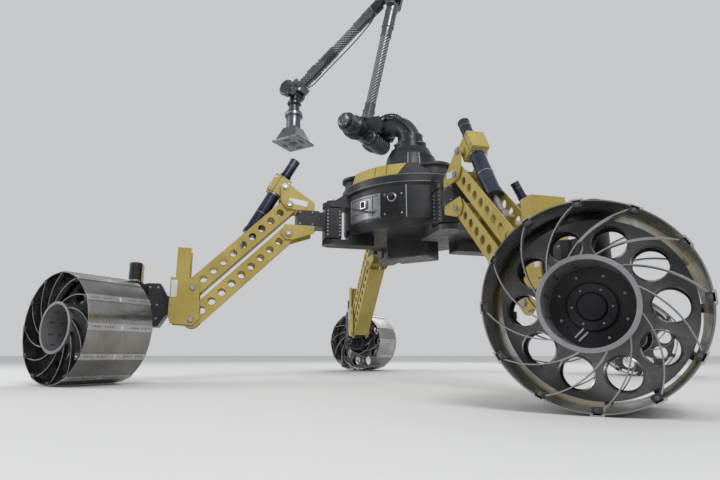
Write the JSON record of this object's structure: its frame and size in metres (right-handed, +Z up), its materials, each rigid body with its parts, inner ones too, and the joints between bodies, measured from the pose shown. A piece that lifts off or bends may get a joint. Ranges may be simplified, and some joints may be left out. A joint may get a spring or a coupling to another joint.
{
  "type": "four-legged wheeled planetary rover",
  "caption": "Laboratory planetary rover: black body, four yellow perforated parallelogram legs with steel wheels that steer, and a six-joint arm.",
  "frame": {"origin": "on the floor under the turret axis, centre of the wheels' footprint", "axes": "+Z up, +X forward, +Y to the left"},
  "size_m": [2.118, 2.318, 2.1205],
  "materials": {
    "yellow": "satin",
    "black": "satin",
    "dark_tube": "satin",
    "steel": "polished",
    "grey_panel": "satin",
    "arm_black": "satin",
    "carbon": "gloss"
  },
  "bodies": {
    "body": {"chassis": "black", "deck_panels": "yellow", "side_panels": "grey_panel", "under_box": "black", "turret_base": "arm_black"},
    "turret": {"arm_turret": "arm_black"},
    "upper_arm": {"arm_upper": "carbon"},
    "elbow": {"arm_elbow": "arm_black"},
    "forearm": {"arm_forearm": "carbon"},
    "wrist": {"arm_wrist": "arm_black"},
    "end_plate": {"arm_plate": "arm_black"},
    "swivel_front_left": {"swivel_front_left": "black", "cheeks_front_left": "yellow"},
    "upper_link_front_left": {"upper_bar_front_left": "yellow"},
    "lower_link_front_left": {"lower_bar_front_left": "yellow"},
    "knee_front_left": {"knee_front_left": "yellow", "gearbox_front_left": "black"},
    "barrel_front_left": {"barrel_front_left": "dark_tube", "clamp_front_left": "yellow"},
    "rod_front_left": {"rod_front_left": "steel"},
    "steering_front_left": {"steering_front_left": "black"},
    "wheel_front_left": {"wheel_front_left": "steel"},
    "swivel_rear_left": {"swivel_rear_left": "black", "cheeks_rear_left": "yellow"},
    "upper_link_rear_left": {"upper_bar_rear_left": "yellow"},
    "lower_link_rear_left": {"lower_bar_rear_left": "yellow"},
    "knee_rear_left": {"knee_rear_left": "yellow", "gearbox_rear_left": "black"},
    "barrel_rear_left": {"barrel_rear_left": "dark_tube", "clamp_rear_left": "yellow"},
    "rod_rear_left": {"rod_rear_left": "steel"},
    "steering_rear_left": {"steering_rear_left": "black"},
    "wheel_rear_left": {"wheel_rear_left": "steel"},
    "swivel_rear_right": {"swivel_rear_right": "black", "cheeks_rear_right": "yellow"},
    "upper_link_rear_right": {"upper_bar_rear_right": "yellow"},
    "lower_link_rear_right": {"lower_bar_rear_right": "yellow"},
    "knee_rear_right": {"knee_rear_right": "yellow", "gearbox_rear_right": "black"},
    "barrel_rear_right": {"barrel_rear_right": "dark_tube", "clamp_rear_right": "yellow"},
    "rod_rear_right": {"rod_rear_right": "steel"},
    "steering_rear_right": {"steering_rear_right": "black"},
    "wheel_rear_right": {"wheel_rear_right": "steel"},
    "swivel_front_right": {"swivel_front_right": "black", "cheeks_front_right": "yellow"},
    "upper_link_front_right": {"upper_bar_front_right": "yellow"},
    "lower_link_front_right": {"lower_bar_front_right": "yellow"},
    "knee_front_right": {"knee_front_right": "yellow", "gearbox_front_right": "black"},
    "barrel_front_right": {"barrel_front_right": "dark_tube", "clamp_front_right": "yellow"},
    "rod_front_right": {"rod_front_right": "steel"},
    "steering_front_right": {"steering_front_right": "black"},
    "wheel_front_right": {"wheel_front_right": "steel"}
  },
  "joints": [
    {"name": "arm_yaw", "type": "hinge", "parent": "body", "child": "turret", "pos_m": [0, 0, 1.128], "axis": [0, 0, 1], "range_deg": [-150, 150]},
    {"name": "arm_shoulder", "type": "hinge", "parent": "turret", "child": "upper_arm", "pos_m": [-0.268, 0, 1.25], "axis": [0, 1, 0], "range_deg": [-40, 35]},
    {"name": "arm_elbow", "type": "hinge", "parent": "upper_arm", "child": "elbow", "pos_m": [-0.05682, 0, 2.07851], "axis": [0, 1, 0], "range_deg": [-12, 120]},
    {"name": "forearm_roll", "type": "hinge", "parent": "elbow", "child": "forearm", "pos_m": [-0.05682, 0, 2.07851], "axis": [-0.83, 0, -0.5577], "range_deg": [-170, 170]},
    {"name": "wrist_pitch", "type": "hinge", "parent": "forearm", "child": "wrist", "pos_m": [-0.73992, 0, 1.61948], "axis": [0, 1, 0], "range_deg": [-55, 110]},
    {"name": "wrist_roll", "type": "hinge", "parent": "wrist", "child": "end_plate", "pos_m": [-0.73992, 0, 1.29948], "axis": [0, 0, 1], "range_deg": [-170, 170]},
    {"name": "swing_front_left", "type": "hinge", "parent": "body", "child": "swivel_front_left", "pos_m": [0.28001, 0.28001, 0.622], "axis": [0, 0, 1], "range_deg": [-35, 35]},
    {"name": "lift_front_left", "type": "hinge", "parent": "swivel_front_left", "child": "upper_link_front_left", "pos_m": [0.42568, 0.42568, 0.758], "axis": [0.7071, -0.7071, 0], "range_deg": [-5, 40]},
    {"name": "lower_turn_front_left", "type": "hinge", "parent": "swivel_front_left", "child": "lower_link_front_left", "pos_m": [0.42568, 0.42568, 0.629], "axis": [0.7071, -0.7071, 0], "range_deg": [-5, 40]},
    {"name": "knee_turn_front_left", "type": "hinge", "parent": "upper_link_front_left", "child": "knee_front_left", "pos_m": [0.69568, 0.69568, 0.37616], "axis": [0.7071, -0.7071, 0], "range_deg": [-40, 5]},
    {"name": "barrel_turn_front_left", "type": "hinge", "parent": "swivel_front_left", "child": "barrel_front_left", "pos_m": [0.43982, 0.43982, 0.842], "axis": [0.7071, -0.7071, 0], "range_deg": [-4.27, 34.16]},
    {"name": "rod_slide_front_left", "type": "slide", "parent": "barrel_front_left", "child": "rod_front_left", "axis": [0.3386, 0.3386, -0.8779], "range_m": [-0.05251, 0.00657]},
    {"name": "steer_front_left", "type": "hinge", "parent": "knee_front_left", "child": "steering_front_left", "pos_m": [0.85902, 0.85902, 0.2], "axis": [0, 0, 1], "range_deg": [-40, 40]},
    {"name": "wheel_spin_front_left", "type": "hinge", "parent": "steering_front_left", "child": "wheel_front_left", "pos_m": [0.85902, 1.03402, 0.2], "axis": [0, 1, 0], "continuous": true},
    {"name": "swing_rear_left", "type": "hinge", "parent": "body", "child": "swivel_rear_left", "pos_m": [-0.28001, 0.28001, 0.622], "axis": [0, 0, 1], "range_deg": [-35, 35]},
    {"name": "lift_rear_left", "type": "hinge", "parent": "swivel_rear_left", "child": "upper_link_rear_left", "pos_m": [-0.42568, 0.42568, 0.758], "axis": [0.7071, 0.7071, 0], "range_deg": [-5, 40]},
    {"name": "lower_turn_rear_left", "type": "hinge", "parent": "swivel_rear_left", "child": "lower_link_rear_left", "pos_m": [-0.42568, 0.42568, 0.629], "axis": [0.7071, 0.7071, 0], "range_deg": [-5, 40]},
    {"name": "knee_turn_rear_left", "type": "hinge", "parent": "upper_link_rear_left", "child": "knee_rear_left", "pos_m": [-0.69568, 0.69568, 0.37616], "axis": [0.7071, 0.7071, 0], "range_deg": [-40, 5]},
    {"name": "barrel_turn_rear_left", "type": "hinge", "parent": "swivel_rear_left", "child": "barrel_rear_left", "pos_m": [-0.43982, 0.43982, 0.842], "axis": [0.7071, 0.7071, 0], "range_deg": [-4.27, 34.16]},
    {"name": "rod_slide_rear_left", "type": "slide", "parent": "barrel_rear_left", "child": "rod_rear_left", "axis": [-0.3386, 0.3386, -0.8779], "range_m": [-0.05251, 0.00657]},
    {"name": "steer_rear_left", "type": "hinge", "parent": "knee_rear_left", "child": "steering_rear_left", "pos_m": [-0.85902, 0.85902, 0.2], "axis": [0, 0, 1], "range_deg": [-40, 40]},
    {"name": "wheel_spin_rear_left", "type": "hinge", "parent": "steering_rear_left", "child": "wheel_rear_left", "pos_m": [-0.85902, 1.03402, 0.2], "axis": [0, 1, 0], "continuous": true},
    {"name": "swing_rear_right", "type": "hinge", "parent": "body", "child": "swivel_rear_right", "pos_m": [-0.28001, -0.28001, 0.622], "axis": [0, 0, 1], "range_deg": [-35, 35]},
    {"name": "lift_rear_right", "type": "hinge", "parent": "swivel_rear_right", "child": "upper_link_rear_right", "pos_m": [-0.42568, -0.42568, 0.758], "axis": [-0.7071, 0.7071, 0], "range_deg": [-5, 40]},
    {"name": "lower_turn_rear_right", "type": "hinge", "parent": "swivel_rear_right", "child": "lower_link_rear_right", "pos_m": [-0.42568, -0.42568, 0.629], "axis": [-0.7071, 0.7071, 0], "range_deg": [-5, 40]},
    {"name": "knee_turn_rear_right", "type": "hinge", "parent": "upper_link_rear_right", "child": "knee_rear_right", "pos_m": [-0.69568, -0.69568, 0.37616], "axis": [-0.7071, 0.7071, 0], "range_deg": [-40, 5]},
    {"name": "barrel_turn_rear_right", "type": "hinge", "parent": "swivel_rear_right", "child": "barrel_rear_right", "pos_m": [-0.43982, -0.43982, 0.842], "axis": [-0.7071, 0.7071, 0], "range_deg": [-4.27, 34.16]},
    {"name": "rod_slide_rear_right", "type": "slide", "parent": "barrel_rear_right", "child": "rod_rear_right", "axis": [-0.3386, -0.3386, -0.8779], "range_m": [-0.05251, 0.00657]},
    {"name": "steer_rear_right", "type": "hinge", "parent": "knee_rear_right", "child": "steering_rear_right", "pos_m": [-0.85902, -0.85902, 0.2], "axis": [0, 0, 1], "range_deg": [-40, 40]},
    {"name": "wheel_spin_rear_right", "type": "hinge", "parent": "steering_rear_right", "child": "wheel_rear_right", "pos_m": [-0.85902, -1.03402, 0.2], "axis": [0, 1, 0], "continuous": true},
    {"name": "swing_front_right", "type": "hinge", "parent": "body", "child": "swivel_front_right", "pos_m": [0.28001, -0.28001, 0.622], "axis": [0, 0, 1], "range_deg": [-35, 35]},
    {"name": "lift_front_right", "type": "hinge", "parent": "swivel_front_right", "child": "upper_link_front_right", "pos_m": [0.42568, -0.42568, 0.758], "axis": [-0.7071, -0.7071, 0], "range_deg": [-5, 40]},
    {"name": "lower_turn_front_right", "type": "hinge", "parent": "swivel_front_right", "child": "lower_link_front_right", "pos_m": [0.42568, -0.42568, 0.629], "axis": [-0.7071, -0.7071, 0], "range_deg": [-5, 40]},
    {"name": "knee_turn_front_right", "type": "hinge", "parent": "upper_link_front_right", "child": "knee_front_right", "pos_m": [0.69568, -0.69568, 0.37616], "axis": [-0.7071, -0.7071, 0], "range_deg": [-40, 5]},
    {"name": "barrel_turn_front_right", "type": "hinge", "parent": "swivel_front_right", "child": "barrel_front_right", "pos_m": [0.43982, -0.43982, 0.842], "axis": [-0.7071, -0.7071, 0], "range_deg": [-4.27, 34.16]},
    {"name": "rod_slide_front_right", "type": "slide", "parent": "barrel_front_right", "child": "rod_front_right", "axis": [0.3386, -0.3386, -0.8779], "range_m": [-0.05251, 0.00657]},
    {"name": "steer_front_right", "type": "hinge", "parent": "knee_front_right", "child": "steering_front_right", "pos_m": [0.85902, -0.85902, 0.2], "axis": [0, 0, 1], "range_deg": [-40, 40]},
    {"name": "wheel_spin_front_right", "type": "hinge", "parent": "steering_front_right", "child": "wheel_front_right", "pos_m": [0.85902, -1.03402, 0.2], "axis": [0, 1, 0], "continuous": true}
  ],
  "couplings": [
    {"joint": "lower_turn_front_left", "follows": "lift_front_left", "ratio": 1},
    {"joint": "knee_turn_front_left", "follows": "lift_front_left", "ratio": -1},
    {"joint": "barrel_turn_front_left", "follows": "lift_front_left", "ratio": 0.854},
    {"joint": "rod_slide_front_left", "follows": "lift_front_left", "m_per_rad": -0.0752},
    {"joint": "lower_turn_rear_left", "follows": "lift_rear_left", "ratio": 1},
    {"joint": "knee_turn_rear_left", "follows": "lift_rear_left", "ratio": -1},
    {"joint": "barrel_turn_rear_left", "follows": "lift_rear_left", "ratio": 0.854},
    {"joint": "rod_slide_rear_left", "follows": "lift_rear_left", "m_per_rad": -0.0752},
    {"joint": "lower_turn_rear_right", "follows": "lift_rear_right", "ratio": 1},
    {"joint": "knee_turn_rear_right", "follows": "lift_rear_right", "ratio": -1},
    {"joint": "barrel_turn_rear_right", "follows": "lift_rear_right", "ratio": 0.854},
    {"joint": "rod_slide_rear_right", "follows": "lift_rear_right", "m_per_rad": -0.0752},
    {"joint": "lower_turn_front_right", "follows": "lift_front_right", "ratio": 1},
    {"joint": "knee_turn_front_right", "follows": "lift_front_right", "ratio": -1},
    {"joint": "barrel_turn_front_right", "follows": "lift_front_right", "ratio": 0.854},
    {"joint": "rod_slide_front_right", "follows": "lift_front_right", "m_per_rad": -0.0752}
  ]
}
